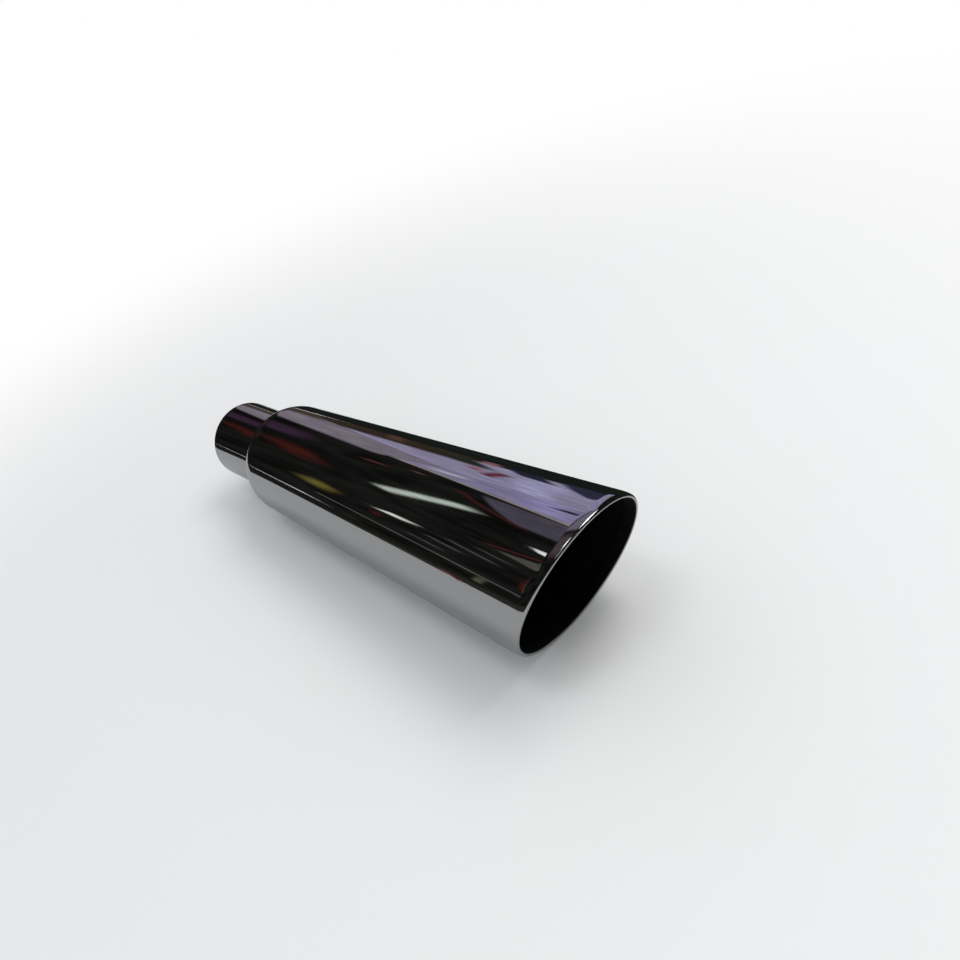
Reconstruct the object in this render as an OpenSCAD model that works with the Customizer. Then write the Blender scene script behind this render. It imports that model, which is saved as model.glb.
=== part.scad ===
// Slash-cut exhaust tip with a slip-on neck, a domed shoulder, a flared body and a folded lip.
// The pipe lies along X: the neck's open end is at X = 0, the mouth faces +X,
// and the slash cut reaches furthest forward at the top, at +Z. Sizes are in millimetres.

/* [Inlet neck] */
// Inside diameter of the neck, which slips over the end of the car's tail pipe
neck_bore_d = 57.6; // [50:0.1:66]
// Thickness of the neck's tube
neck_wall = 1.3; // [0.8:0.1:3]
// Length of neck that stands clear of the shoulder
neck_len = 58; // [30:1:120]
// Length of neck that reaches on into the body
neck_reach = 14; // [4:1:30]
// Radius on the outer edge of the neck's open end
neck_edge_r = 0.7; // [0.1:0.1:0.7]

/* [Body] */
// Outside diameter of the body at the middle of the slash cut
mouth_d = 101.6; // [94:0.1:120]
// Length from the neck's open end to the middle of the slash cut
pipe_len = 365; // [260:1:600]
// Taper of the body, as the angle between its side and its axis
taper_deg = 1.9; // [0:0.1:3]
// Thickness of the body's sheet
sheet = 1.2; // [0.8:0.1:2]
// Radius of the domed shoulder
shoulder_r = 32; // [24:1:40]

/* [Slash cut] */
// Angle of the cut away from square
slash_deg = 26; // [0:1:45]

/* [Folded lip] */
// Radius over which the sheet draws in just behind the lip
draw_r = 12; // [6:1:20]
// Angle that the sheet draws in by before it folds
draw_deg = 24; // [5:1:40]
// Gap left inside the fold
fold_gap = 0.6; // [0.2:0.1:3]
// Length of sheet folded back behind the lip
fold_leg = 6; // [2:0.5:15]

/* [Weld] */
// Leg of the weld, along the neck and along the shoulder
weld_leg = 3; // [1.5:0.1:5]
// Radius of the weld's rounded face
weld_face_r = 4.5; // [4.5:0.1:10]

/* [Fits and smoothness] */
// Clearance all round between the neck and the hole in the shoulder
slip = 0.15; // [0.1:0.05:0.5]
// Sections of the shell around the axis
shell_sections = 96; // [48:12:120]

/* [Hidden] */

chrome = [0.62, 0.63, 0.65];
weld_chrome = [0.72, 0.73, 0.75];
round_fn = 96;
shoulder_steps = 8;
draw_steps = 3;
fold_steps = 8;

neck_r = neck_bore_d / 2 + neck_wall;
hole_r = neck_r + slip;
taper = tan(taper_deg);
fold_r = sheet + fold_gap / 2;

// Outside radius of the tapered body at x
function body_r(x) = mouth_d / 2 - taper * (pipe_len - x);

// Centre of the shoulder's arc, as [x, radius]. The arc runs into the taper without a crease
// and passes through the rim of the hole, where the neck comes out of the shoulder.
below_side = shoulder_r / cos(taper_deg);
hole_rise = hole_r - body_r(neck_len) + below_side;
centre_run = (hole_rise * taper + sqrt(pow(shoulder_r / cos(taper_deg), 2) - pow(hole_rise, 2)))
    * pow(cos(taper_deg), 2);
shoulder_x = neck_len + centre_run;
shoulder_c = [shoulder_x, body_r(shoulder_x) - below_side];

// Angle on an arc of radius r about the shoulder's centre at which it meets the hole
function hole_angle(r) = 180 - asin((hole_r - shoulder_c[1]) / r);

// Points from angle a to angle b on an arc of radius r about the shoulder's centre
function shoulder_arc(r, a, b) = [
    for (i = [0 : shoulder_steps])
        let (turn = a + (b - a) * i / shoulder_steps)
        shoulder_c + r * [cos(turn), sin(turn)]
];

// The sheet's path over the lip, as [run along the side, depth inwards], for a turn of the sheet.
// It draws in gently at first and then folds tightly. The offset moves it in to the inner face.
function draw_point(turn, offset) =
    [(draw_r - offset) * sin(turn), draw_r - (draw_r - offset) * cos(turn)];
function fold_point(turn, offset) =
    (draw_r - fold_r) * [sin(draw_deg), -cos(draw_deg)]
    + [(fold_r - offset) * sin(turn), draw_r - (fold_r - offset) * cos(turn)];

lip_outer = [
    for (i = [0 : draw_steps]) draw_point(draw_deg * i / draw_steps, 0),
    for (i = [1 : fold_steps]) fold_point(draw_deg + (180 - draw_deg) * i / fold_steps, 0)
];
lip_inner = [
    for (i = [fold_steps : -1 : 1]) fold_point(draw_deg + (180 - draw_deg) * i / fold_steps, sheet),
    for (i = [draw_steps : -1 : 0]) draw_point(draw_deg * i / draw_steps, sheet)
];
lip_path = concat(lip_outer, [lip_outer[len(lip_outer) - 1] - [fold_leg, 0],
    lip_inner[0] - [fold_leg, 0]], lip_inner);

// Stretch of the lip along the side, because the lip crosses the section on a slant
function slant(angle) = sqrt(1 + pow(tan(slash_deg) * cos(angle), 2));

// Place along X where the sheet starts to draw in, at an angle round the axis from +Y to +Z.
// It is set so that the front of the fold just touches the plane of the slash cut.
function lip_start(angle) =
    let (
        lean = tan(slash_deg) * sin(angle),
        along = slant(angle) * (cos(taper_deg) - lean * sin(taper_deg)),
        across = sin(taper_deg) + lean * cos(taper_deg),
        reach = along * (draw_r - fold_r) * sin(draw_deg)
            + across * (draw_r - (draw_r - fold_r) * cos(draw_deg))
            + fold_r * sqrt(pow(along, 2) + pow(across, 2))
    )
    (pipe_len + lean * (mouth_d / 2 - taper * pipe_len) - reach) / (1 - lean * taper);

// The lip at an angle round the axis, as [x, radius]
function lip(angle) =
    let (x = lip_start(angle), stretch = slant(angle))
    [for (p = lip_path) [x, body_r(x)]
        + stretch * p[0] * [cos(taper_deg), sin(taper_deg)]
        + p[1] * [sin(taper_deg), -cos(taper_deg)]];

// Closed outline of the sheet at an angle round the axis: over the shoulder, along the side,
// round the lip and back along the inside
function sheet_section(angle) = concat(
    shoulder_arc(shoulder_r, hole_angle(shoulder_r), 90 + taper_deg),
    lip(angle),
    shoulder_arc(shoulder_r - sheet, 90 + taper_deg, hole_angle(shoulder_r - sheet))
);

// A solid through closed sections that stand round the X axis
module loft_round_x(sections) {
    rings = len(sections);
    size = len(sections[0]);
    points = [
        for (i = [0 : rings - 1])
            let (angle = 360 * i / rings)
            for (p = sections[i]) [p[0], p[1] * cos(angle), p[1] * sin(angle)]
    ];
    faces = [
        for (i = [0 : rings - 1], j = [0 : size - 1])
            let (
                a = i * size + j,
                b = i * size + (j + 1) % size,
                c = ((i + 1) % rings) * size + (j + 1) % size,
                d = ((i + 1) % rings) * size + j
            )
            each [[a, c, b], [a, d, c]]
    ];
    polyhedron(points, faces, convexity = 10);
}

// Turns a profile drawn as [x, radius] about the X axis
module turn_round_x() {
    rotate([90, 0, 90])
        rotate_extrude($fn = round_fn)
            mirror([1, -1, 0])
                children();
}

// The sheet-metal body: shoulder, flared side, slash cut and folded lip in one piece
module outer_shell() {
    color(chrome)
        loft_round_x([for (i = [0 : shell_sections - 1]) sheet_section(360 * i / shell_sections)]);
}

// The neck that slips over the tail pipe, and is welded into the shoulder
module inlet_tube() {
    color(chrome)
        turn_round_x() {
            translate([neck_edge_r, neck_bore_d / 2])
                square([neck_len + neck_reach - neck_edge_r, neck_wall]);
            translate([0, neck_bore_d / 2])
                square([neck_edge_r, neck_wall - neck_edge_r]);
            intersection() {
                translate([neck_edge_r, neck_r - neck_edge_r])
                    circle(neck_edge_r, $fn = round_fn);
                translate([0, neck_r - neck_edge_r])
                    square(neck_edge_r);
            }
        }
}

// The weld in the corner between the neck and the shoulder, with a rounded face
module weld_bead() {
    corner = [neck_len, neck_r];
    side_turn = hole_angle(shoulder_r) - 90;
    half_corner = (180 - side_turn) / 2;
    bisector = side_turn + half_corner;
    set_back = sqrt(pow(weld_face_r, 2) - pow(weld_leg * sin(half_corner), 2))
        - weld_leg * cos(half_corner);
    color(weld_chrome)
        turn_round_x()
            difference() {
                translate(corner - set_back * [cos(bisector), sin(bisector)])
                    circle(weld_face_r, $fn = round_fn);
                translate(shoulder_c)
                    circle(shoulder_r, $fn = round_fn);
                translate([0, -neck_r])
                    square([pipe_len, 2 * neck_r]);
            }
}

outer_shell();
inlet_tube();
weld_bead();
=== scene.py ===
"""Chromed slash-cut exhaust tip: a slip-on neck, a weld, a domed and flared shell, a folded lip.

The pipe lies along X with its mouth towards +X, and the slash cut reaches furthest forward at
the top, at +Z. Sizes of the object are in millimetres, and Blender's own units are metres.
"""

import logging
import math
from collections.abc import Callable, Sequence
from dataclasses import dataclass, field
from enum import Enum

import bpy
import numpy as np
from mathutils import Matrix, Vector


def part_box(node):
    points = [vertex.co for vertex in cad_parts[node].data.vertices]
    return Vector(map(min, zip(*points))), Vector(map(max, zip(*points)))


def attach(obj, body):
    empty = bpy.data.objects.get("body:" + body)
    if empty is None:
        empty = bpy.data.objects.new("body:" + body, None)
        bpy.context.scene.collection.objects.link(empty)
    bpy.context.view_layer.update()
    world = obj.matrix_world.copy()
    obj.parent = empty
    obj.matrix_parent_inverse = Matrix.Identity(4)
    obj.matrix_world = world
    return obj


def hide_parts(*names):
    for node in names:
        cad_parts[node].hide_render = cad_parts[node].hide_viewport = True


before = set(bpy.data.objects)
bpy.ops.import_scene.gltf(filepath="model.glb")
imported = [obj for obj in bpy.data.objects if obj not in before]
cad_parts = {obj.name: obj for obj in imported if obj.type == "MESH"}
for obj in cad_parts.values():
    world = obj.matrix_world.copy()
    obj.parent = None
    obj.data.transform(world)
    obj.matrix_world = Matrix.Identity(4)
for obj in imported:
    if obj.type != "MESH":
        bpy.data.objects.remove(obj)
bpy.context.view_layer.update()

LOG = logging.getLogger("exhaust_tip")
MM = 0.001
TAPER_DEG = 1.9
MOUTH_AT = 0.365

Point = tuple[float, float]
Colour = tuple[float, float, float, float]


def linear(hex_colour: str) -> Colour:
    """Turns an sRGB colour into linear light.

    Args:
        hex_colour: The colour as six hex digits after a hash sign.

    Returns:
        Red, green and blue in linear light, and an alpha of 1.
    """
    parts = [int(hex_colour[i:i + 2], 16) / 255 for i in (1, 3, 5)]
    light = [p / 12.92 if p <= 0.04045 else ((p + 0.055) / 1.055) ** 2.4 for p in parts]
    return light[0], light[1], light[2], 1.0


def node(
    tree: bpy.types.NodeTree,
    kind: str,
    settings: dict[str, object] | None = None,
    inputs: dict[str | int, object] | None = None,
) -> bpy.types.Node:
    """Adds a node with its settings and links.

    Args:
        tree: The node tree that the node goes into.
        kind: Blender's type name of the node.
        settings: The node's own settings by name.
        inputs: A value, or an output to link from, for each input by its name or number.

    Returns:
        The new node.
    """
    made = tree.nodes.new(kind)
    for name, value in (settings or {}).items():
        setattr(made, name, value)
    for name, value in (inputs or {}).items():
        if isinstance(value, bpy.types.NodeSocket):
            tree.links.new(value, made.inputs[name])
        else:
            made.inputs[name].default_value = value
    return made


def empty_material(name: str) -> tuple[bpy.types.Material, bpy.types.NodeTree]:
    """Makes a material whose node tree is empty.

    Args:
        name: The material's name.

    Returns:
        The material and its node tree.
    """
    material = bpy.data.materials.new(name)
    material.use_nodes = True
    material.node_tree.nodes.clear()
    return material, material.node_tree


def stretched(
    tree: bpy.types.NodeTree, spacing_mm: Sequence[float], detail: float = 2.0
) -> bpy.types.NodeSocket:
    """Adds a noise that is stretched along the object's own axes.

    Args:
        tree: The node tree that the noise goes into.
        spacing_mm: Distance from one blob of the noise to the next along X, Y and Z.
        detail: How many finer layers the noise has.

    Returns:
        The noise's output, from 0 to 1.
    """
    place = node(tree, "ShaderNodeTexCoord")
    scale = tuple(1 / (s * MM) for s in spacing_mm)
    mapped = node(tree, "ShaderNodeMapping", inputs={
        "Vector": place.outputs["Object"], "Scale": scale})
    noise = node(tree, "ShaderNodeTexNoise", inputs={
        "Vector": mapped.outputs[0], "Scale": 1.0, "Detail": detail, "Roughness": 0.5})
    return noise.outputs["Fac"]


def remap(
    tree: bpy.types.NodeTree, value: bpy.types.NodeSocket, taken: Point, given: Point
) -> bpy.types.NodeSocket:
    """Adds a node that moves one range of values smoothly onto another.

    Args:
        tree: The node tree that the node goes into.
        value: The output to read.
        taken: Lowest and highest value that are read.
        given: The values that they become.

    Returns:
        The moved value.
    """
    made = node(tree, "ShaderNodeMapRange", {"interpolation_type": "SMOOTHSTEP"}, {
        "Value": value, "From Min": taken[0], "From Max": taken[1],
        "To Min": given[0], "To Max": given[1]})
    return made.outputs["Result"]


def bumped(
    tree: bpy.types.NodeTree,
    height: bpy.types.NodeSocket,
    depth_mm: float,
    under: bpy.types.NodeSocket | None = None,
) -> bpy.types.NodeSocket:
    """Adds a bump of a real depth.

    Args:
        tree: The node tree that the bump goes into.
        height: Height from 0 to 1.
        depth_mm: Depth of the bump in millimetres.
        under: The normal that the bump is laid on.

    Returns:
        The new normal.
    """
    inputs: dict[str | int, object] = {"Height": height, "Distance": depth_mm * MM}
    if under is not None:
        inputs["Normal"] = under
    return node(tree, "ShaderNodeBump", inputs=inputs).outputs["Normal"]


# Finishes of the object


@dataclass(frozen=True)
class PlatedChrome:
    """Decorative chromium plate over polished and bright-nickelled steel.

    The eye sees a slightly dark, almost colourless mirror. Its reflections are sharp, wave a
    little where the sheet was pulled to shape, and carry a thin haze of buffing lines.
    """

    name: str = "chromium_plate_polished"
    colour: str = "#C4C5C5"
    roughness: float = 0.022
    haze: float = 0.035
    haze_mm: tuple[float, float, float] = (60.0, 22.0, 22.0)
    wave_mm: tuple[float, float, float] = (110.0, 26.0, 26.0)
    wave_depth_mm: float = 0.05
    # The real buffing lines are some hundredths of a millimetre apart: drawn coarser to show.
    buff_mm: tuple[float, float, float] = (0.45, 14.0, 14.0)
    buff_depth_mm: float = 0.00012

    def material(self) -> bpy.types.Material:
        """Makes the material.

        Returns:
            The finished material.
        """
        material, tree = empty_material(self.name)
        haze = stretched(tree, self.haze_mm, 3.0)
        lines = stretched(tree, self.buff_mm, 1.0)
        mixed = node(tree, "ShaderNodeMath", {"operation": "MULTIPLY"}, {0: haze, 1: lines})
        rough = remap(tree, mixed.outputs[0], (0.15, 0.45),
                      (self.roughness, self.roughness + self.haze))
        wave = bumped(tree, stretched(tree, self.wave_mm, 1.0), self.wave_depth_mm)
        normal = bumped(tree, lines, self.buff_depth_mm, wave)
        shader = node(tree, "ShaderNodeBsdfPrincipled", inputs={
            "Base Color": linear(self.colour), "Metallic": 1.0,
            "Roughness": rough, "Normal": normal})
        node(tree, "ShaderNodeOutputMaterial", inputs={"Surface": shader.outputs[0]})
        return material


@dataclass(frozen=True)
class HeatproofBlackAndShade:
    """Sprayed heat-proof black paint on the inside of the shell.

    The eye sees an almost light-less matt surface with the fine grain of a dry spray coat and a
    little dusty grey on it. The black is darker than such paint is: painted shade, which stands
    for the deep shade inside the shell.
    little dusty grey on it.
    """

    name: str = "heatproof_paint_and_painted_shade_matt"
    # Darker than real heat-proof paint: partly the paint's own black, partly painted shade of the
    # deep inside.
    colour: str = "#070707"
    dusty: str = "#0F0E0D"
    roughness: float = 0.78
    dry_roughness: float = 0.94
    grain_mm: float = 0.8
    grain_depth_mm: float = 0.05
    dust_mm: float = 26.0

    def material(self) -> bpy.types.Material:
        """Makes the material.

        Returns:
            The finished material.
        """
        material, tree = empty_material(self.name)
        grain = stretched(tree, (self.grain_mm,) * 3, 3.0)
        dust = stretched(tree, (self.dust_mm,) * 3, 4.0)
        tint = node(tree, "ShaderNodeMix", {"data_type": "RGBA"}, {
            0: remap(tree, dust, (0.42, 0.68), (0.0, 1.0)),
            6: linear(self.colour), 7: linear(self.dusty)})
        rough = remap(tree, grain, (0.3, 0.7), (self.roughness, self.dry_roughness))
        shader = node(tree, "ShaderNodeBsdfPrincipled", inputs={
            "Base Color": tint.outputs[2], "Roughness": rough, "Specular IOR Level": 0.25,
            "Normal": bumped(tree, grain, self.grain_depth_mm)})
        node(tree, "ShaderNodeOutputMaterial", inputs={"Surface": shader.outputs[0]})
        return material


@dataclass(frozen=True)
class DrawnSteel:
    """Drawn steel tube under a thin flash of nickel, on the inside of the neck.

    The eye sees a dull grey metal with faint lines along the tube from the drawing die.
    """

    name: str = "steel_tube_drawn_flash_nickel"
    bright: str = "#9A9893"
    dull: str = "#6F6C66"
    roughness: float = 0.3
    dull_roughness: float = 0.5
    # Die lines are about 0.1 mm apart: drawn coarser to show.
    line_mm: tuple[float, float, float] = (40.0, 0.9, 0.9)
    line_depth_mm: float = 0.012
    stain_mm: float = 18.0

    def material(self) -> bpy.types.Material:
        """Makes the material.

        Returns:
            The finished material.
        """
        material, tree = empty_material(self.name)
        lines = stretched(tree, self.line_mm, 2.0)
        stain = remap(tree, stretched(tree, (self.stain_mm,) * 3, 4.0), (0.4, 0.65), (0.0, 1.0))
        tint = node(tree, "ShaderNodeMix", {"data_type": "RGBA"}, {
            0: stain, 6: linear(self.bright), 7: linear(self.dull)})
        rough = remap(tree, stain, (0.0, 1.0), (self.roughness, self.dull_roughness))
        shader = node(tree, "ShaderNodeBsdfPrincipled", inputs={
            "Base Color": tint.outputs[2], "Metallic": 1.0, "Roughness": rough,
            "Normal": bumped(tree, lines, self.line_depth_mm)})
        node(tree, "ShaderNodeOutputMaterial", inputs={"Surface": shader.outputs[0]})
        return material


@dataclass(frozen=True)
class PlatedWeld:
    """Weld dressed with a flap wheel and plated with the rest.

    The eye sees a narrow bright ring that is softer than the sheet beside it, with faint ripples
    left from the weld.
    """

    name: str = "weld_dressed_chromium_plate"
    colour: str = "#C6C7C7"
    roughness: float = 0.07
    dull_roughness: float = 0.2
    patch_mm: float = 5.0
    ripple_mm: float = 1.6
    ripple_depth_mm: float = 0.03

    def material(self) -> bpy.types.Material:
        """Makes the material.

        Returns:
            The finished material.
        """
        material, tree = empty_material(self.name)
        patch = stretched(tree, (self.patch_mm,) * 3, 2.0)
        ripple = stretched(tree, (self.ripple_mm,) * 3, 1.0)
        shader = node(tree, "ShaderNodeBsdfPrincipled", inputs={
            "Base Color": linear(self.colour), "Metallic": 1.0,
            "Roughness": remap(tree, patch, (0.35, 0.65), (self.roughness, self.dull_roughness)),
            "Normal": bumped(tree, ripple, self.ripple_depth_mm)})
        node(tree, "ShaderNodeOutputMaterial", inputs={"Surface": shader.outputs[0]})
        return material


# Meshes


def spread(start: float, end: float, steps: int) -> list[float]:
    """Evenly spaced values from start to end, with both ends."""
    return [start + (end - start) * i / steps for i in range(steps + 1)]


def round_skin(
    name: str,
    section: Callable[[float], Sequence[Point]],
    around: int,
    finishes: Sequence[bpy.types.Material],
    finish_of: Callable[[int], int],
    sharp_deg: float = 35.0,
) -> bpy.types.Object:
    """Makes a closed skin from sections that stand round the X axis.

    Args:
        name: The object's name.
        section: Gives the closed outline at an angle in degrees from +Y to +Z, as points of run
            along X and radius, in millimetres. Every section has as many points.
        around: Number of sections.
        finishes: The materials of the skin.
        finish_of: Gives the material's number for the strip that starts at a point's number.
        sharp_deg: Edges that turn by more than this are drawn sharp.

    Returns:
        The new object, shaded smooth.
    """
    turns = [360 * i / around for i in range(around)]
    outline = np.array([section(turn) for turn in turns])
    angle = np.radians(turns)[:, None]
    run, radius = outline[..., 0], outline[..., 1]
    points = np.stack([run, radius * np.cos(angle), radius * np.sin(angle)], -1) * MM
    size = outline.shape[1]
    ring, at = np.meshgrid(np.arange(around), np.arange(size), indexing="ij")
    on, onward = (ring + 1) % around, (at + 1) % size
    corners = [ring * size + at, ring * size + onward, on * size + onward, on * size + at]
    faces = np.stack([c.ravel() for c in corners], -1)
    mesh = bpy.data.meshes.new(name)
    mesh.from_pydata(points.reshape(-1, 3).tolist(), [], faces.tolist())
    for finish in finishes:
        mesh.materials.append(finish)
    mesh.polygons.foreach_set("material_index", [finish_of(int(k)) for k in at.ravel()])
    mesh.polygons.foreach_set("use_smooth", [True] * len(faces))
    mesh.set_sharp_from_angle(angle=math.radians(sharp_deg))
    mesh.update()
    skin = bpy.data.objects.new(name, mesh)
    bpy.context.scene.collection.objects.link(skin)
    return skin


def hand_in(piece: bpy.types.Object, cad_node: str) -> None:
    """Puts a piece in the place of its CAD node.

    Args:
        piece: The finished piece.
        cad_node: The node that it stands for.
    """
    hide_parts(cad_node)
    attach(piece, "root")
    low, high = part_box(cad_node)
    own = np.array([v.co for v in piece.data.vertices])
    gap = max(np.abs(own.min(0) - low).max(), np.abs(own.max(0) - high).max()) / MM
    triangles = sum(len(p.vertices) - 2 for p in piece.data.polygons)
    LOG.info("%s stands for %s: %d triangles, boxes agree to %.3f mm",
             piece.name, cad_node, triangles, gap)


@dataclass
class Neck:
    """The tube that slips over the tail pipe, welded into the shoulder."""

    bore_d: float = 57.6
    wall: float = 1.3
    length: float = 58.0
    reach: float = 14.0
    edge_r: float = 0.7
    around: int = 288
    edge_steps: int = 8
    length_steps: int = 18

    @property
    def radius(self) -> float:
        """Outside radius of the tube."""
        return self.bore_d / 2 + self.wall

    def section(self, _turn: float) -> list[Point]:
        """Gives the tube's outline.

        Args:
            _turn: Angle round the axis, which changes nothing here.

        Returns:
            The closed outline, from the open end's edge along the outside and back in the bore.
        """
        end = self.length + self.reach
        edge = [(self.edge_r * (1 - math.sin(math.radians(a))),
                 self.radius - self.edge_r * (1 - math.cos(math.radians(a))))
                for a in spread(90, 0, self.edge_steps)]
        outside = [(x, self.radius) for x in spread(self.edge_r, end, self.length_steps)[1:]]
        bore = [(x, self.bore_d / 2) for x in spread(end, 0, self.length_steps)]
        return edge + outside + bore

    def build(self, chrome: bpy.types.Material, steel: bpy.types.Material) -> bpy.types.Object:
        """Makes the neck, plated outside and dull in the bore.

        Args:
            chrome: Finish of the outside.
            steel: Finish of the bore.

        Returns:
            The neck, in place of its CAD node.
        """
        last_outside = self.edge_steps + self.length_steps
        tube = round_skin("neck_tube", self.section, self.around, [chrome, steel],
                          lambda k: int(last_outside <= k <= last_outside + self.length_steps))
        hand_in(tube, "inlet_tube")
        return tube


@dataclass
class Shell:
    """The sheet-metal body: domed shoulder, flared side, slash cut and folded lip in one piece."""

    neck: Neck
    mouth_d: float = 101.6
    pipe_len: float = MOUTH_AT / MM
    taper_deg: float = TAPER_DEG
    sheet: float = 1.2
    shoulder_r: float = 32.0
    slash_deg: float = 26.0
    draw_r: float = 24.0
    draw_deg: float = 12.0
    fold_gap: float = 0.2
    fold_leg: float = 6.0
    # The lip is rounder than the solid's, and this keeps it inside the solid's length.
    set_back: float = 0.5
    slip: float = 0.15
    # How far the sheet has turned in the fold where the paint and painted shade inside begin, in
    # degrees.
    paint_and_shade_from_deg: float = 126.0
    around: int = 384
    dome_steps: int = 26
    side_steps: int = 22
    draw_steps: int = 12
    fold_steps: int = 26
    inside_share: int = 2
    centre: Point = field(init=False)

    def __post_init__(self) -> None:
        """Works out the centre of the shoulder's arc."""
        lean = math.radians(self.taper_deg)
        below = self.shoulder_r / math.cos(lean)
        rise = self.hole_r - self.body_r(self.neck.length) + below
        run = (rise * self.taper + math.sqrt(below ** 2 - rise ** 2)) * math.cos(lean) ** 2
        x = self.neck.length + run
        self.centre = (x, self.body_r(x) - below)

    @property
    def taper(self) -> float:
        """Change of the body's radius over each millimetre of its length."""
        return math.tan(math.radians(self.taper_deg))

    @property
    def hole_r(self) -> float:
        """Radius of the hole in the shoulder that the neck stands in."""
        return self.neck.radius + self.slip

    @property
    def fold_r(self) -> float:
        """Outside radius of the fold."""
        return self.sheet + self.fold_gap / 2

    def body_r(self, x: float) -> float:
        """Outside radius of the tapered body at x."""
        return self.mouth_d / 2 - self.taper * (self.pipe_len - x)

    def shoulder(self, radius: float, forward: bool) -> list[Point]:
        """Gives the shoulder's arc.

        Args:
            radius: Radius of the arc.
            forward: True from the hole to the side, and False for the way back.

        Returns:
            Points of the arc.
        """
        hole = 180 - math.degrees(math.asin((self.hole_r - self.centre[1]) / radius))
        turns = spread(hole, 90 + self.taper_deg, self.dome_steps)
        arc = [(self.centre[0] + radius * math.cos(math.radians(t)),
                self.centre[1] + radius * math.sin(math.radians(t))) for t in turns]
        return arc if forward else arc[::-1]

    def lip_point(self, turn: float, depth: float) -> Point:
        """Gives a point of the lip before it is laid on the side.

        Args:
            turn: How far the sheet has turned from the side, in degrees.
            depth: How far below the sheet's outer face the point is.

        Returns:
            Run along the side and depth inwards.
        """
        a, b = math.radians(turn), math.radians(self.draw_deg)
        if turn <= self.draw_deg:
            return ((self.draw_r - depth) * math.sin(a),
                    self.draw_r - (self.draw_r - depth) * math.cos(a))
        shift = self.draw_r - self.fold_r
        return (shift * math.sin(b) + (self.fold_r - depth) * math.sin(a),
                self.draw_r - shift * math.cos(b) - (self.fold_r - depth) * math.cos(a))

    def lip_path(self) -> list[Point]:
        """Gives the lip's outline.

        Returns:
            Points as run along the side and depth inwards, from the side's outer face round the
            fold and the folded leg to the side's inner face.
        """
        draw = spread(0, self.draw_deg, self.draw_steps)
        # One step of the fold ends where the paint and painted shade begin.
        share = (self.paint_and_shade_from_deg - self.draw_deg) / (180 - self.draw_deg)
        first = round(self.fold_steps * share)
        fold = (spread(self.draw_deg, self.paint_and_shade_from_deg, first)[1:]
                + spread(self.paint_and_shade_from_deg, 180, self.fold_steps - first)[1:])
        outer = [self.lip_point(t, 0) for t in draw + fold]
        inner = [self.lip_point(t, self.sheet) for t in (draw + fold)[::-1]]
        leg = [(p[0] - self.fold_leg, p[1]) for p in (outer[-1], inner[0])]
        return outer + leg + inner

    def lip_start(self, angle: float) -> float:
        """Gives the place along X where the sheet starts to draw in.

        The front of the fold then just touches the plane of the slash cut.

        Args:
            angle: Angle round the axis, in radians.

        Returns:
            The place along X.
        """
        taper = math.radians(self.taper_deg)
        cut, draw = math.tan(math.radians(self.slash_deg)), math.radians(self.draw_deg)
        lean = cut * math.sin(angle)
        along = self.slant(angle) * (math.cos(taper) - lean * math.sin(taper))
        across = math.sin(taper) + lean * math.cos(taper)
        shift = self.draw_r - self.fold_r
        reach = (along * shift * math.sin(draw)
                 + across * (self.draw_r - shift * math.cos(draw))
                 + self.fold_r * math.hypot(along, across))
        plane = (self.pipe_len - self.set_back
                 + lean * (self.mouth_d / 2 - self.taper * self.pipe_len))
        return (plane - reach) / (1 - lean * self.taper)

    def slant(self, angle: float) -> float:
        """Stretch of the lip along the side, which the lip crosses on a slant."""
        return math.hypot(1, math.tan(math.radians(self.slash_deg)) * math.cos(angle))

    def side(self, start: float, end: float, steps: int) -> list[float]:
        """Places along the side, closer together towards both of its ends."""
        return [start + (end - start) * (1 - math.cos(math.pi * t)) / 2
                for t in spread(0, 1, steps)][1:-1]

    def section(self, turn: float) -> list[Point]:
        """Gives the sheet's outline.

        Args:
            turn: Angle round the axis, in degrees.

        Returns:
            The closed outline: over the shoulder, along the side, round the lip and back inside.
        """
        angle, taper = math.radians(turn), math.radians(self.taper_deg)
        start, stretch = self.lip_start(angle), self.slant(angle)
        foot = (start, self.body_r(start))
        lip = [(foot[0] + stretch * s * math.cos(taper) + d * math.sin(taper),
                foot[1] + stretch * s * math.sin(taper) - d * math.cos(taper))
               for s, d in self.lip_path()]
        over = self.shoulder(self.shoulder_r, True)
        under = self.shoulder(self.shoulder_r - self.sheet, False)
        outside = [(x, self.body_r(x)) for x in self.side(over[-1][0], start, self.side_steps)]
        share = self.side(0, 1, self.side_steps // self.inside_share)
        inside = [(lip[-1][0] + (under[0][0] - lip[-1][0]) * t,
                   lip[-1][1] + (under[0][1] - lip[-1][1]) * t) for t in share]
        return over + outside + lip + inside + under

    def build(self, chrome: bpy.types.Material, paint: bpy.types.Material) -> bpy.types.Object:
        """Makes the shell, plated outside and painted inside from just past the lip's front.

        Args:
            chrome: Finish of the outside.
            paint: Finish of the inside: black paint, made darker still as painted shade.

        Returns:
            The shell, in place of its CAD node.
        """
        # The inside finish starts here: black paint that also carries painted shade.
        share = (self.paint_and_shade_from_deg - self.draw_deg) / (180 - self.draw_deg)
        first_paint_and_shade = (self.dome_steps + self.side_steps + self.draw_steps
                       + round(self.fold_steps * share))
        skin = round_skin("slash_cut_shell", self.section, self.around, [chrome, paint],
                          lambda k: int(k >= first_paint_and_shade))
        hand_in(skin, "outer_shell")
        return skin


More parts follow.
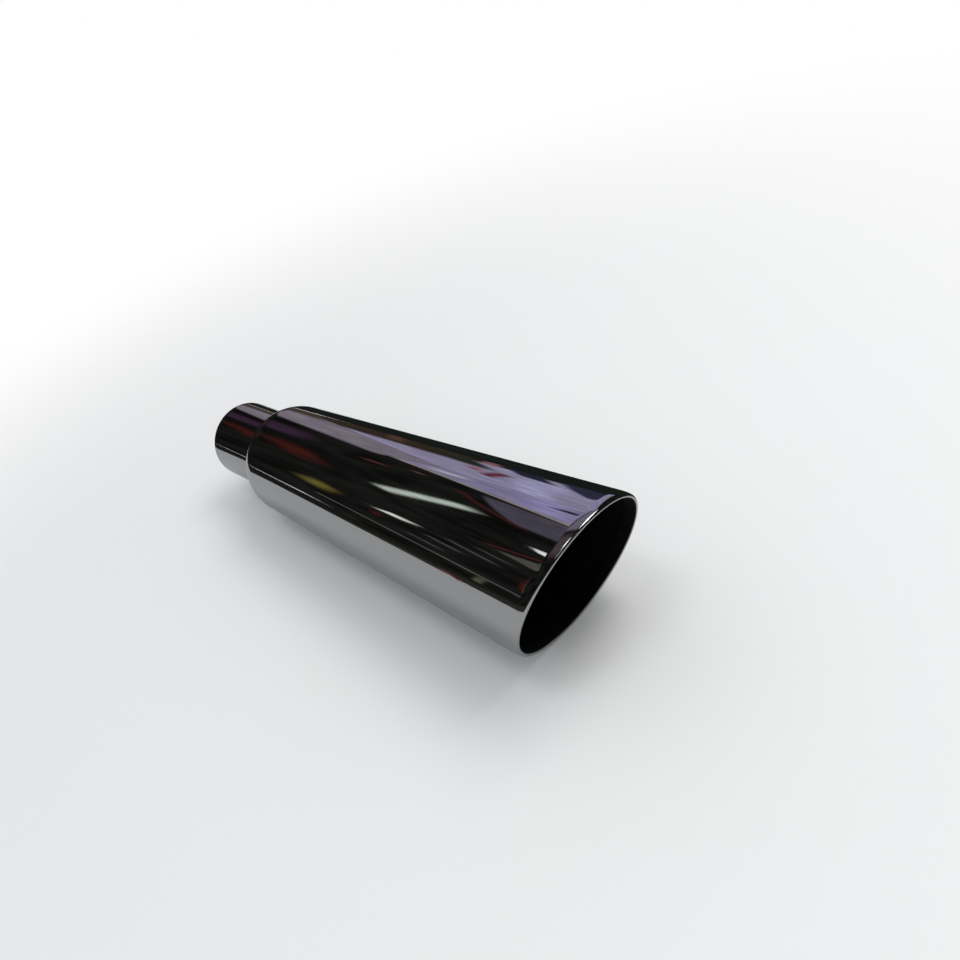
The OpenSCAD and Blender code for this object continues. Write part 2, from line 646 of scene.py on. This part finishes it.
@dataclass
class WeldBead:
    """The weld in the corner between the neck and the shoulder."""

    shell: Shell
    leg: float = 2.2
    face_r: float = 4.0
    around: int = 360
    face_steps: int = 12
    ripples: int = 84
    ripple: float = 0.03

    def section(self, turn: float) -> list[Point]:
        """Gives the bead's outline.

        Args:
            turn: Angle round the axis, in degrees.

        Returns:
            The closed outline: the rounded face, then the hidden corner.
        """
        shell = self.shell
        corner = np.array([shell.neck.length, shell.neck.radius])
        hole = 180 - math.degrees(math.asin((shell.hole_r - shell.centre[1]) / shell.shoulder_r))
        half = (180 - (hole - 90)) / 2
        middle = math.radians(hole - 90 + half)
        half = math.radians(half)
        back = (math.sqrt(self.face_r ** 2 - (self.leg * math.sin(half)) ** 2)
                - self.leg * math.cos(half))
        centre = corner - back * np.array([math.cos(middle), math.sin(middle)])
        low = math.pi - math.asin((corner[1] - centre[1]) / self.face_r)
        # Where the face's circle crosses the shoulder's circle.
        to = centre - np.array(shell.centre)
        far = float(np.hypot(*to))
        step = (far ** 2 + shell.shoulder_r ** 2 - self.face_r ** 2) / (2 * far)
        rise = math.sqrt(shell.shoulder_r ** 2 - step ** 2)
        along = to / far
        meets = [np.array(shell.centre) + step * along + s * rise * np.array([-along[1], along[0]])
                 for s in (-1, 1)]
        top = max(meets, key=lambda p: p[1]) - centre
        high = math.atan2(top[1], top[0])
        wobble = self.ripple * (1 + math.sin(math.radians(turn) * self.ripples
                                             + 0.9 * math.sin(math.radians(turn) * 7))) / 2
        face = []
        for i, a in enumerate(spread(low, high, self.face_steps)):
            rounded = self.face_r - wobble * math.sin(math.pi * i / self.face_steps)
            face.append((centre[0] + rounded * math.cos(a), centre[1] + rounded * math.sin(a)))
        return face + [(shell.neck.length, shell.hole_r), tuple(corner)]

    def build(self, weld: bpy.types.Material) -> bpy.types.Object:
        """Makes the weld bead.

        Args:
            weld: Finish of the bead.

        Returns:
            The bead, in place of its CAD node.
        """
        bead = round_skin("weld_ring", self.section, self.around, [weld], lambda _k: 0)
        hand_in(bead, "weld_bead")
        return bead


# Studio


@dataclass
class Sweep:
    """Pale paper under the pipe, which rises all round to a low wall.

    The paper lies along the lowest line of the tapered body, so that the pipe rests on it.
    """

    shell: Shell
    colour: str = "#F1F2F3"
    far_from: float = 0.25
    far_to: float = 0.9
    flat_r: float = 3.0
    bend_r: float = 1.0
    wall: float = 0.8
    around: int = 128

    def build(self) -> bpy.types.Object:
        """Makes the paper sweep.

        Returns:
            The sweep, laid under the pipe.
        """
        rim = [(r, 0.0) for r in (0.0, 0.3, 0.8, 1.6, self.flat_r)]
        rim += [(self.flat_r + self.bend_r * math.sin(a), self.bend_r * (1 - math.cos(a)))
                for a in spread(0, math.pi / 2, 16)[1:]]
        rim.append((self.flat_r + self.bend_r, self.bend_r + self.wall))
        points, faces = [], []
        for i in range(self.around):
            a = 2 * math.pi * i / self.around
            points += [(r * math.cos(a), r * math.sin(a), z) for r, z in rim]
        size = len(rim)
        for i in range(self.around):
            here, there = i * size, (i + 1) % self.around * size
            faces += [(here + j, here + j + 1, there + j + 1, there + j) for j in range(size - 1)]
        mesh = bpy.data.meshes.new("paper_sweep")
        mesh.from_pydata(points, [], faces)
        mesh.polygons.foreach_set("use_smooth", [True] * len(faces))
        mesh.materials.append(self.material())
        sweep = bpy.data.objects.new("paper_sweep", mesh)
        bpy.context.scene.collection.objects.link(sweep)
        middle = self.shell.pipe_len / 2
        sweep.rotation_euler = (0, math.radians(self.shell.taper_deg), 0)
        sweep.location = (middle * MM, 0, -self.shell.body_r(middle) * MM - 0.00002)
        return sweep

    def material(self) -> bpy.types.Material:
        """Makes the paper, which shows as white in the distance.

        Returns:
            The finished material.
        """
        material, tree = empty_material("seamless_paper_pale")
        fibre = stretched(tree, (0.9, 0.9, 0.9), 3.0)
        cloud = stretched(tree, (180.0, 180.0, 180.0), 2.0)
        tint = node(tree, "ShaderNodeMix", {"data_type": "RGBA"}, {
            0: cloud, 6: linear(self.colour), 7: linear("#F3F3F2")})
        paper = node(tree, "ShaderNodeBsdfPrincipled", inputs={
            "Base Color": tint.outputs[2], "Roughness": 0.92,
            "Normal": bumped(tree, fibre, 0.02)})
        white = node(tree, "ShaderNodeEmission", inputs={"Color": (1, 1, 1, 1), "Strength": 1.0})
        path = node(tree, "ShaderNodeLightPath")
        seen = path.outputs["Is Camera Ray"]
        for ray in ("Is Glossy Ray", "Is Transmission Ray"):
            seen = node(tree, "ShaderNodeMath", {"operation": "MAXIMUM"}, {
                0: seen, 1: path.outputs[ray]}).outputs[0]
        place = node(tree, "ShaderNodeTexCoord")
        away = node(tree, "ShaderNodeVectorMath", {"operation": "LENGTH"},
                    {0: place.outputs["Object"]})
        far = remap(tree, away.outputs["Value"], (self.far_from, self.far_to), (0.0, 1.0))
        share = node(tree, "ShaderNodeMath", {"operation": "MULTIPLY"}, {0: far, 1: seen})
        both = node(tree, "ShaderNodeMixShader", inputs={
            0: share.outputs[0], 1: paper.outputs[0], 2: white.outputs[0]})
        node(tree, "ShaderNodeOutputMaterial", inputs={"Surface": both.outputs[0]})
        return material


class Side(Enum):
    """A side of the dark tent that the chrome looks into: its axis, place and facing."""

    REAR = (0, -2.6)
    FRONT = (0, 2.6)
    RIGHT = (1, -1.7)
    LEFT = (1, 1.7)
    TOP = (2, 1.7)
    TABLE = (2, -0.0508)

    def at(self, u: float, v: float, lift: float) -> tuple[float, float, float]:
        """Gives a point on the side.

        Args:
            u: Place along the first of the side's two axes, in metres.
            v: Place along the second.
            lift: How far the point stands in front of the side.

        Returns:
            The point.
        """
        axis, place = self.value
        if self is Side.TABLE:
            # The paper rises towards the neck, because it lies along the tapered body.
            place += math.tan(math.radians(TAPER_DEG)) * (MOUTH_AT - u)
        inward = place + (lift if self is Side.TABLE or place < 0 else -lift)
        point = [u, v]
        point.insert(axis, inward)
        return point[0], point[1], point[2]


@dataclass(frozen=True)
class Card:
    """A card on a side of the tent, with soft edges."""

    side: Side
    colour: str
    # Four corners in order, each as its place along the side's two axes, in metres.
    corners: tuple[Point, Point, Point, Point]
    # Share of the card's width over which each of its two pairs of edges fades.
    soft: Point = (0.3, 0.3)
    strength: float = 1.0
    cover: float = 1.0


def strip(
    side: Side, colour: str, start: Point, end: Point, width: float,
    soft: Point = (0.1, 0.4), strength: float = 1.0, cover: float = 1.0,
) -> Card:
    """Makes a long card from its middle line.

    Args:
        side: The side that it is on.
        colour: Its colour as hex.
        start: One end of its middle line.
        end: The other end.
        width: Its width in metres.
        soft: Share of its length and of its width over which the edges fade.
        strength: Brightness, where 1 shows the colour as written.
        cover: How much of what lies behind it is hidden.

    Returns:
        The card.
    """
    along = Vector((end[0] - start[0], end[1] - start[1])).normalized() * (width / 2)
    off = (-along.y, along.x)
    corners = tuple((p[0] + s * off[0], p[1] + s * off[1])
                    for p, s in ((start, -1), (end, -1), (end, 1), (start, 1)))
    return Card(side, colour, corners, soft, strength, cover)


# Glow colours of the tent: painted reflections of a room, seen in the chrome only.
FELT_GLOW_COLOUR = "#1B1B1A"
LILAC = "#968FB4"
PALE_LILAC = "#BAB5DD"
BEIGE = "#A29A8C"

CARDS: tuple[Card, ...] = (
    # Rear side, straight behind the neck.
    Card(Side.REAR, "#8E8592", ((1.0, -0.1), (1.8, -0.1), (1.8, 1.8), (0.95, 1.8)), (0.2, 0.1)),
    Card(Side.REAR, "#4A4138", ((1.1, -0.1), (1.9, -0.1), (1.9, 0.75), (1.1, 0.6)), (0.3, 0.4)),
    Card(Side.REAR, "#48201B", ((-0.85, 1.3), (-0.1, 1.32), (0.0, 1.7), (-0.8, 1.7)),
         (0.4, 0.4)),
    Card(Side.REAR, "#432E43", ((0.1, 1.2), (0.8, 1.1), (0.8, 1.65), (0.1, 1.65)), (0.4, 0.4)),
    Card(Side.REAR, "#7D7139", ((-1.72, 0.62), (-1.38, 0.7), (-1.28, 1.15), (-1.6, 1.1)),
         (0.45, 0.45)),
    Card(Side.REAR, "#3A2C33", ((0.2, 0.0), (0.8, 0.0), (0.8, 1.2), (0.2, 1.2)), (0.4, 0.3)),
    Card(Side.REAR, "#3A2A24", ((-0.4, 0.5), (0.0, 0.5), (0.0, 1.4), (-0.4, 1.4)), (0.4, 0.3)),
    # Right side, which the lower half of the pipe sees.
    strip(Side.RIGHT, "#5F5E5C", (-2.7, 0.47), (-1.18, 0.26), 0.075, (0.02, 0.35)),
    strip(Side.RIGHT, "#5C5B4E", (-1.4, -0.06), (-1.4, 0.26), 0.07, (0.05, 0.35)),
    strip(Side.RIGHT, "#4D4C4B", (-2.2, 1.57), (-1.76, 1.38), 0.1, (0.3, 0.45)),
    strip(Side.RIGHT, "#565454", (-2.2, 1.29), (-1.6, 1.04), 0.1, (0.3, 0.45)),
    strip(Side.RIGHT, "#565454", (-2.1, 0.98), (-1.74, 0.86), 0.1, (0.3, 0.45)),
    strip(Side.RIGHT, "#4D4C4B", (-2.05, 0.66), (-1.7, 0.59), 0.1, (0.3, 0.45)),
    Card(Side.RIGHT, "#FAFFF7", ((-2.66, 1.08), (-2.3, 1.12), (-2.3, 1.33), (-2.66, 1.36)),
         (0.35, 0.35), 1.0),
    strip(Side.RIGHT, "#4A2326", (-2.45, 1.0), (-2.25, 0.7), 0.12, (0.4, 0.45)),
    Card(Side.RIGHT, "#38342F", ((-2.3, -0.06), (-2.1, -0.06), (-2.1, 0.16), (-2.3, 0.16)),
         (0.45, 0.4)),
    strip(Side.RIGHT, "#5A4A42", (-1.62, 1.45), (-1.2, 0.35), 0.035, (0.1, 0.45)),
    strip(Side.RIGHT, "#521D1C", (-1.55, 1.25), (-1.26, 0.45), 0.04, (0.2, 0.45)),
    # Top side, with a long tube lamp and a small lamp.
    Card(Side.TOP, LILAC, ((-2.7, 1.2), (-1.2, 0.58), (-0.9, 1.8), (-2.7, 1.8)), (0.02, 0.05)),
    strip(Side.TOP, "#A79FD0", (-1.9, 1.75), (-1.35, 0.75), 0.28, (0.1, 0.45)),
    Card(Side.TOP, "#D6D3DE", ((-2.5, 1.2), (-2.1, 1.2), (-2.1, 1.5), (-2.5, 1.5)), (0.45, 0.45)),
    Card(Side.TOP, "#24232F", ((-1.68, 1.2), (-1.42, 1.2), (-1.45, 1.48), (-1.66, 1.48)),
         (0.4, 0.4)),
    Card(Side.TOP, "#55515E", ((-1.72, 0.72), (-1.35, -0.1), (-0.9, -0.2), (-1.0, 0.62)),
         (0.12, 0.08)),
    strip(Side.TOP, BEIGE, (-2.7, 1.25), (-2.05, 1.0), 0.12, (0.05, 0.45)),
    strip(Side.TOP, BEIGE, (-2.15, 1.03), (-1.14, 0.6), 0.085, (0.05, 0.35)),
    strip(Side.TOP, "#2B2831", (-1.75, 0.74), (-1.12, 0.545), 0.035, (0.2, 0.35)),
    strip(Side.TOP, "#4A2220", (-1.78, 0.55), (-1.28, -0.2), 0.07, (0.15, 0.45)),
    strip(Side.TOP, "#DFEBE0", (-2.38, -0.77), (-1.5, -0.03), 0.2, (0.18, 0.42)),
    Card(Side.TOP, "#FFFFFF", ((-1.4, -0.78), (-1.28, -0.84), (-1.24, -0.6), (-1.38, -0.62)),
         (0.3, 0.3), 1.3),
    strip(Side.TOP, "#582826", (-2.0, -1.36), (-1.35, -0.98), 0.07, (0.15, 0.45)),
    Card(Side.TOP, "#5D5A55", ((-2.0, -1.45), (-1.35, -1.05), (-1.2, -1.75), (-1.9, -1.75)),
         (0.12, 0.15)),
    Card(Side.TOP, "#5F3638", ((-2.4, 0.36), (-2.15, 0.4), (-2.15, 0.54), (-2.4, 0.5)),
         (0.4, 0.4)),
    Card(Side.TOP, "#6B4E4C", ((-2.16, 0.66), (-2.02, 0.62), (-2.0, 0.72), (-2.14, 0.76)),
         (0.4, 0.4)),
    Card(Side.TOP, "#7E7788", ((-1.2, 0.2), (0.5, 0.3), (0.5, 1.8), (-1.0, 1.8)), (0.15, 0.15)),
    Card(Side.TOP, "#574B4E", ((-1.1, -1.0), (0.3, -1.0), (0.3, 0.3), (-1.0, 0.3)), (0.2, 0.3)),
    # Left side, which the upper half of the pipe sees.
    Card(Side.LEFT, "#A29BBB", ((-2.7, 0.6), (-0.6, -0.1), (-0.6, 1.8), (-2.7, 1.8)),
         (0.02, 0.02)),
    strip(Side.LEFT, PALE_LILAC, (-2.0, 1.75), (-1.2, 0.35), 0.3, (0.1, 0.4)),
    Card(Side.LEFT, "#3A3028", ((-2.7, -0.1), (-1.5, -0.1), (-1.62, 0.75), (-2.7, 0.75)),
         (0.08, 0.25)),
    strip(Side.LEFT, "#5D4438", (-2.12, 0.5), (-1.98, -0.1), 0.16, (0.2, 0.4)),
    strip(Side.LEFT, "#6B2B36", (-1.95, 1.2), (-1.5, 0.6), 0.11, (0.15, 0.45)),
    strip(Side.LEFT, "#A25A60", (-1.9, 1.0), (-1.72, 0.72), 0.12, (0.35, 0.45)),
    Card(Side.LEFT, "#2C3328", ((-1.86, 0.1), (-1.55, 0.1), (-1.52, 0.68), (-1.8, 0.72)),
         (0.3, 0.3)),
    strip(Side.LEFT, "#93676C", (-1.53, 0.3), (-1.44, -0.08), 0.13, (0.25, 0.4)),
    Card(Side.LEFT, "#2C2B3B", ((-1.44, -0.1), (-1.2, -0.1), (-1.2, 0.46), (-1.42, 0.42)),
         (0.25, 0.15)),
    Card(Side.LEFT, "#34364A", ((-1.2, -0.1), (-0.8, -0.1), (-1.0, 0.5), (-1.17, 0.7)),
         (0.2, 0.12)),
    strip(Side.LEFT, "#FFFFFF", (-1.42, 1.35), (-1.24, 1.02), 0.03, (0.2, 0.4)),
    # Front side, seen from behind the pipe only.
    strip(Side.FRONT, "#8C8F96", (-1.1, 0.75), (0.6, 0.95), 0.4, (0.2, 0.35)),
    strip(Side.FRONT, "#5E5A55", (-1.6, 0.25), (1.6, 0.2), 0.1, (0.05, 0.35)),
    strip(Side.TOP, "#E2E6EA", (0.4, -1.1), (1.7, -0.8), 0.34, (0.15, 0.35)),
    # The table ends here: a line of red piping along its near edge, and the dark beyond.
    # A grey veil over the paper under the pipe, seen only in the chrome: painted shade that
    # darkens the paper's reflection by about half.
    Card(Side.TABLE, "#3A4045", ((-1.0, -0.9), (1.1, -0.9), (1.1, 0.9), (-1.0, 0.9)),
         (0.01, 0.01), 1.0, 0.47),
    Card(Side.TABLE, "#35322E", ((-2.7, 0.42), (1.2, -0.69), (1.2, -1.8), (-2.7, -1.8)),
         (0.001, 0.02)),
    Card(Side.TABLE, "#1B211E", ((-2.7, 0.1), (1.2, 0.1), (1.2, 1.8), (-2.7, 1.8)),
         (0.001, 0.02)),
    Card(Side.TABLE, "#1E2823", ((-0.12, 0.22), (0.06, 0.24), (0.1, 0.42), (-0.12, 0.42)),
         (0.35, 0.3)),
    Card(Side.TABLE, "#20201E", ((-2.7, -1.8), (-0.27, -1.8), (-0.27, 1.8), (-2.7, 1.8)),
         (0.03, 0.001)),
    Card(Side.TABLE, "#20201E", ((0.58, -1.8), (2.7, -1.8), (2.7, 1.8), (0.58, 1.8)),
         (0.05, 0.001)),
    strip(Side.TABLE, "#A8565C", (-0.16, -0.45), (0.05, -0.3), 0.014, (0.2, 0.45)),
)


@dataclass
class Tent:
    """The dark workshop round the set, with coloured cards on its sides.

    Only the chrome sees it: it is hidden from the camera, and neither lights nor shades the set.
    Its felt and cards glow though they are no lamps: a painted reflection of a room, which the
    chrome mirrors.
    """

    cards: tuple[Card, ...] = CARDS
    rows: int = 10
    # Height of each card above the one under it.
    step: float = 0.00015
    felt_mm: float = 300.0

    def hide(self, obj: bpy.types.Object) -> None:
        """Leaves an object visible in reflections only."""
        obj.visible_camera = obj.visible_diffuse = obj.visible_shadow = False

    def add(self, name: str, mesh: bpy.types.Mesh, material: bpy.types.Material) -> None:
        """Puts a mesh into the scene as part of the tent.

        Args:
            name: The new object's name.
            mesh: Its mesh.
            material: Its only material.
        """
        mesh.materials.append(material)
        obj = bpy.data.objects.new(name, mesh)
        bpy.context.scene.collection.objects.link(obj)
        self.hide(obj)

    def build(self) -> None:
        """Makes the tent's felt and its cards."""
        self.build_felt()
        self.build_cards()
        LOG.info("tent with %d cards", len(self.cards))

    def build_felt(self) -> None:
        """Makes the dark felt on five sides. The paper on the table closes the sixth."""
        x, y, z = Side.FRONT.value[1], Side.LEFT.value[1], Side.TOP.value[1]
        low = Side.TABLE.value[1] - 0.3
        points = [(sx * x, sy * y, h) for h in (low, z) for sx in (-1, 1) for sy in (-1, 1)]
        faces = [(0, 1, 5, 4), (2, 3, 7, 6), (0, 2, 6, 4), (1, 3, 7, 5), (4, 5, 7, 6)]
        mesh = bpy.data.meshes.new("tent_felt")
        mesh.from_pydata(points, [], faces)
        material, tree = empty_material("felt_black_glow_painted_reflection")
        cloud = stretched(tree, (self.felt_mm,) * 3, 3.0)
        # The felt glows dimly though it is no lamp: a painted reflection of a dark room.
        glow = node(tree, "ShaderNodeEmission", inputs={
            "Color": linear(FELT_GLOW_COLOUR), "Strength": remap(tree, cloud, (0.3, 0.7), (0.5, 1.5))})
        node(tree, "ShaderNodeOutputMaterial", inputs={"Surface": glow.outputs[0]})
        material.cycles.emission_sampling = "NONE"
        self.add("tent_felt", mesh, material)

    def build_cards(self) -> None:
        """Makes all cards as one mesh, which carries each card's colour and softness."""
        points, faces, place, tint, soft = [], [], [], [], []
        size = self.rows + 1
        layers = dict.fromkeys(Side, 0)
        for card in self.cards:
            layers[card.side] += 1
            first = len(points)
            a, b, c, d = (Vector(p) for p in card.corners)
            light = linear(card.colour)
            for i in range(size):
                for j in range(size):
                    u, v = i / self.rows, j / self.rows
                    flat = (a.lerp(b, u)).lerp(d.lerp(c, u), v)
                    points.append(card.side.at(flat.x, flat.y, self.step * layers[card.side]))
                    place.append((u, v))
                    tint.append([p * card.strength for p in light[:3]] + [card.cover])
                    soft.append((max(card.soft[0], 1e-4), max(card.soft[1], 1e-4), 0.0))
            faces += [(first + i * size + j, first + (i + 1) * size + j,
                       first + (i + 1) * size + j + 1, first + i * size + j + 1)
                      for i in range(self.rows) for j in range(self.rows)]
        mesh = bpy.data.meshes.new("tent_cards")
        mesh.from_pydata(points, [], faces)
        for name, kind, key, values in (
            ("tint", "FLOAT_COLOR", "color", tint), ("fade", "FLOAT_VECTOR", "vector", soft),
            ("place", "FLOAT_VECTOR", "vector", [(u, v, 0.0) for u, v in place]),
        ):
            layer = mesh.attributes.new(name, kind, "POINT")
            layer.data.foreach_set(key, np.array(values, np.float32).ravel())
        self.add("tent_cards", mesh, self.card_material())

    def card_material(self) -> bpy.types.Material:
        """Makes the cards' shared material: a plain glow that fades out at the edges.

        Returns:
            The finished material.
        """
        material, tree = empty_material("card_glow_painted_reflection")
        tint = node(tree, "ShaderNodeAttribute", {"attribute_name": "tint"})
        fade = node(tree, "ShaderNodeSeparateXYZ", inputs={
            0: node(tree, "ShaderNodeAttribute", {"attribute_name": "fade"}).outputs["Vector"]})
        place = node(tree, "ShaderNodeSeparateXYZ", inputs={
            0: node(tree, "ShaderNodeAttribute", {"attribute_name": "place"}).outputs["Vector"]})
        cover = tint.outputs["Alpha"]
        for axis in (0, 1):
            off = node(tree, "ShaderNodeMath", {"operation": "SUBTRACT"},
                       {0: place.outputs[axis], 1: 0.5})
            away = node(tree, "ShaderNodeMath", {"operation": "ABSOLUTE"}, {0: off.outputs[0]})
            inside = node(tree, "ShaderNodeMath", {"operation": "SUBTRACT"},
                          {0: 0.5, 1: away.outputs[0]})
            edge = node(tree, "ShaderNodeMapRange", {"interpolation_type": "SMOOTHSTEP"}, {
                "Value": inside.outputs[0], "From Min": 0.0, "From Max": fade.outputs[axis]})
            cover = node(tree, "ShaderNodeMath", {"operation": "MULTIPLY"},
                         {0: cover, 1: edge.outputs["Result"]}).outputs[0]
        cloud = stretched(tree, (self.felt_mm * 0.5,) * 3, 3.0)
        glow = node(tree, "ShaderNodeEmission", inputs={
            "Color": tint.outputs["Color"],
            "Strength": remap(tree, cloud, (0.3, 0.7), (0.85, 1.15))})
        clear = node(tree, "ShaderNodeBsdfTransparent")
        both = node(tree, "ShaderNodeMixShader", inputs={
            0: cover, 1: clear.outputs[0], 2: glow.outputs[0]})
        node(tree, "ShaderNodeOutputMaterial", inputs={"Surface": both.outputs[0]})
        material.cycles.emission_sampling = "NONE"
        return material


@dataclass(frozen=True)
class SoftBox:
    """A soft rectangular lamp."""

    name: str
    place: tuple[float, float, float]
    size: tuple[float, float]
    watts: float
    colour: str = "#FFFFFF"
    aim: tuple[float, float, float] = (0.2, 0.0, 0.0)

    def build(self) -> bpy.types.Object:
        """Makes the lamp.

        Returns:
            The lamp, turned towards its aim.
        """
        light = bpy.data.lights.new(self.name, "AREA")
        light.shape = "RECTANGLE"
        light.size, light.size_y = self.size
        light.energy = self.watts
        light.color = linear(self.colour)[:3]
        lamp = bpy.data.objects.new(self.name, light)
        bpy.context.scene.collection.objects.link(lamp)
        lamp.location = self.place
        towards = Vector(self.aim) - Vector(self.place)
        lamp.rotation_mode = "QUATERNION"
        lamp.rotation_quaternion = towards.to_track_quat("-Z", "Y")
        return lamp


@dataclass
class Studio:
    """Paper sweep, tent, lamps, world light and the camera."""

    shell: Shell
    world_colour: str = "#F2F4F7"
    world_strength: float = 0.72
    lamps: tuple[SoftBox, ...] = (
        SoftBox("key_softbox", (0.75, 0.85, 1.5), (1.1, 0.8), 11.0, "#FFFCF7"),
        SoftBox("top_softbox", (0.45, -0.35, 1.6), (0.5, 0.35), 2.5, "#F6F9FF"),
    )
    camera_place: tuple[float, float, float] = (0.6523989, -0.2055928, 0.3189354)
    camera_right: tuple[float, float, float] = (0.662087, 0.673743, -0.328193)
    camera_up: tuple[float, float, float] = (-0.234645, 0.602271, 0.763028)
    camera_back: tuple[float, float, float] = (0.711746, -0.428182, 0.556846)
    lens: float = 33.5033

    def build(self) -> None:
        """Makes the whole set round the object."""
        Sweep(self.shell).build()
        Tent().build()
        for lamp in self.lamps:
            lamp.build()
        self.build_world()
        self.build_camera()
        bpy.context.scene.view_settings.view_transform = "Standard"

    def build_world(self) -> None:
        """Makes the even light from all round, white where it is seen."""
        world = bpy.data.worlds.new("studio_world")
        bpy.context.scene.world = world
        world.use_nodes = True
        tree = world.node_tree
        tree.nodes.clear()
        path = node(tree, "ShaderNodeLightPath")
        seen = path.outputs["Is Camera Ray"]
        for ray in ("Is Glossy Ray", "Is Transmission Ray"):
            seen = node(tree, "ShaderNodeMath", {"operation": "MAXIMUM"}, {
                0: seen, 1: path.outputs[ray]}).outputs[0]
        strength = node(tree, "ShaderNodeMapRange", inputs={
            "Value": seen, "To Min": self.world_strength, "To Max": 1.0})
        sky = node(tree, "ShaderNodeBackground", inputs={
            "Color": linear(self.world_colour), "Strength": strength.outputs["Result"]})
        node(tree, "ShaderNodeOutputWorld", inputs={"Surface": sky.outputs[0]})

    def build_camera(self) -> None:
        """Makes the camera that the photograph was taken from."""
        data = bpy.data.cameras.new("photo_camera")
        data.lens, data.sensor_width = self.lens, 36.0
        data.clip_start, data.clip_end = 0.01, 50.0
        camera = bpy.data.objects.new("photo_camera", data)
        bpy.context.scene.collection.objects.link(camera)
        turn = Matrix((self.camera_right, self.camera_up, self.camera_back)).transposed()
        camera.matrix_world = Matrix.Translation(self.camera_place) @ turn.to_4x4()
        bpy.context.scene.camera = camera


def main() -> None:
    """Builds the pieces in order, then the set."""
    logging.basicConfig(level=logging.INFO, format="%(name)s: %(message)s")
    chrome = PlatedChrome().material()
    neck = Neck()
    neck.build(chrome, DrawnSteel().material())
    shell = Shell(neck)
    shell.build(chrome, HeatproofBlackAndShade().material())
    WeldBead(shell).build(PlatedWeld().material())
    Studio(shell).build()


if __name__ == "__main__":
    main()
